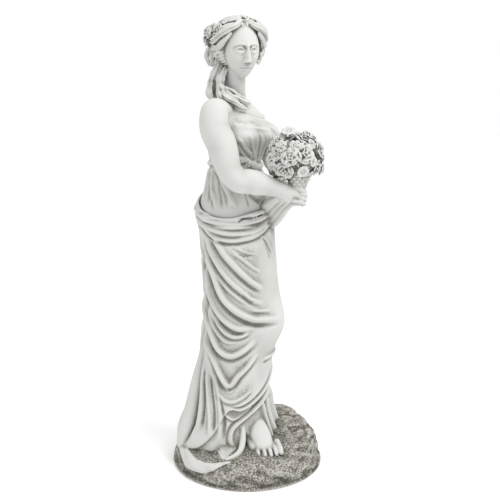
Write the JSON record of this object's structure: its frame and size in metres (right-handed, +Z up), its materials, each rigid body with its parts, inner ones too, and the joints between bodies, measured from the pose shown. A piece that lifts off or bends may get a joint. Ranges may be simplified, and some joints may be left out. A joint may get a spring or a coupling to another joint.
{
  "type": "goddess statue",
  "caption": "Standing draped goddess with a flower wreath, holding a basket of roses, cast in one with a round rock base.",
  "frame": {"origin": "middle of the flat underside of the rock base", "axes": "+Z up; the figure faces -Y, her right hand side is -X"},
  "size_m": [0.2754, 0.2777, 0.8002],
  "materials": {
    "aged_cast_stone": "matte cast stone resin, pale warm grey with a darker wash left in the hollows"
  },
  "bodies": {
    "root": {"goddess_statue": "aged_cast_stone"}
  },
  "joints": []
}
